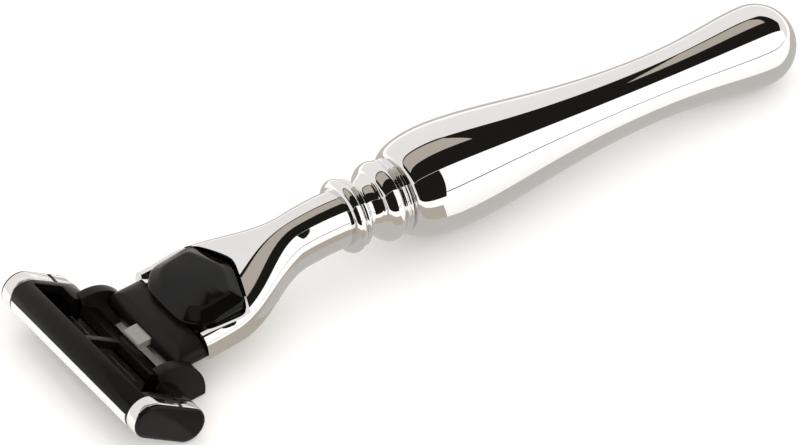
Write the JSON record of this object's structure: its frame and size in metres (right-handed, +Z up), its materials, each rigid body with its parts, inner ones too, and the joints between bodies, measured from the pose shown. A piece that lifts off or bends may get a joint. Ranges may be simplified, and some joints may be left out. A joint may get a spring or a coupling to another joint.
{
  "type": "cartridge razor",
  "caption": "Turned chrome razor handle with a release button and a swivelling three-blade cartridge on a yoke, lying blades down.",
  "frame": {"origin": "centre of the footprint on the surface the razor lies on", "axes": "+X from the blade unit to the grip's round tip, +Y along the blade unit, +Z up from the surface"},
  "size_m": [0.1415, 0.0414, 0.0194],
  "materials": {
    "turned_chrome": "bright plated, turned",
    "cast_chrome": "bright plated die casting",
    "stud_steel": "rolled thread",
    "spring_steel": "drawn wire",
    "chassis_plastic": "moulded",
    "plunger_plastic": "moulded",
    "button_plastic": "polished mould",
    "yoke_plastic": "fine spark-eroded mould",
    "housing_plastic": "satin mould",
    "blade_steel": "ground",
    "support_steel": "stamped",
    "guard_rubber": "overmoulded",
    "lube_polymer": "extruded",
    "clip_metal": "bright rolled strip"
  },
  "bodies": {
    "handle": {"grip": "turned_chrome", "collar": "turned_chrome", "handle_stud": "stud_steel", "neck_shell": "cast_chrome", "chassis": "chassis_plastic", "chassis_pin": "stud_steel", "plunger_spring": "spring_steel"},
    "plunger": {"plunger": "plunger_plastic"},
    "button": {"release_button": "button_plastic", "ejector": "chassis_plastic"},
    "yoke": {"yoke": "yoke_plastic"},
    "blade_unit": {"blade_housing": "housing_plastic", "blade_1": "blade_steel", "blade_2": "blade_steel", "blade_3": "blade_steel", "blade_support_1": "support_steel", "blade_support_2": "support_steel", "blade_support_3": "support_steel", "guard_strip": "guard_rubber", "lubricating_strip": "lube_polymer", "clip_near": "clip_metal", "clip_far": "clip_metal"}
  },
  "joints": [
    {"name": "blade_pivot", "type": "hinge", "parent": "yoke", "child": "blade_unit", "pos_m": [-0.05963, 0, 0.00186], "axis": [0, 1, 0], "range_deg": [0, 38]},
    {"name": "plunger_slide", "type": "slide", "parent": "handle", "child": "plunger", "axis": [0.9987, 0, 0.0512], "range_m": [0, 0.00175], "stiffness_N_per_m": 550, "springref_m": -0.001, "deforming": ["plunger_spring"]},
    {"name": "button_push", "type": "slide", "parent": "handle", "child": "button", "axis": [-0.9987, 0, -0.0512], "range_m": [0, 0.003], "stiffness_N_per_m": 250, "springref_m": -0.002},
    {"name": "cartridge_release", "type": "slide", "parent": "handle", "child": "yoke", "axis": [-0.9987, 0, -0.0512], "range_m": [0, 0.0091]}
  ],
  "couplings": [
    {"joint": "blade_pivot", "follows": "plunger_slide", "rad_per_m": 378.3},
    {"joint": "cartridge_release", "follows": "button_push", "ratio": 3}
  ]
}
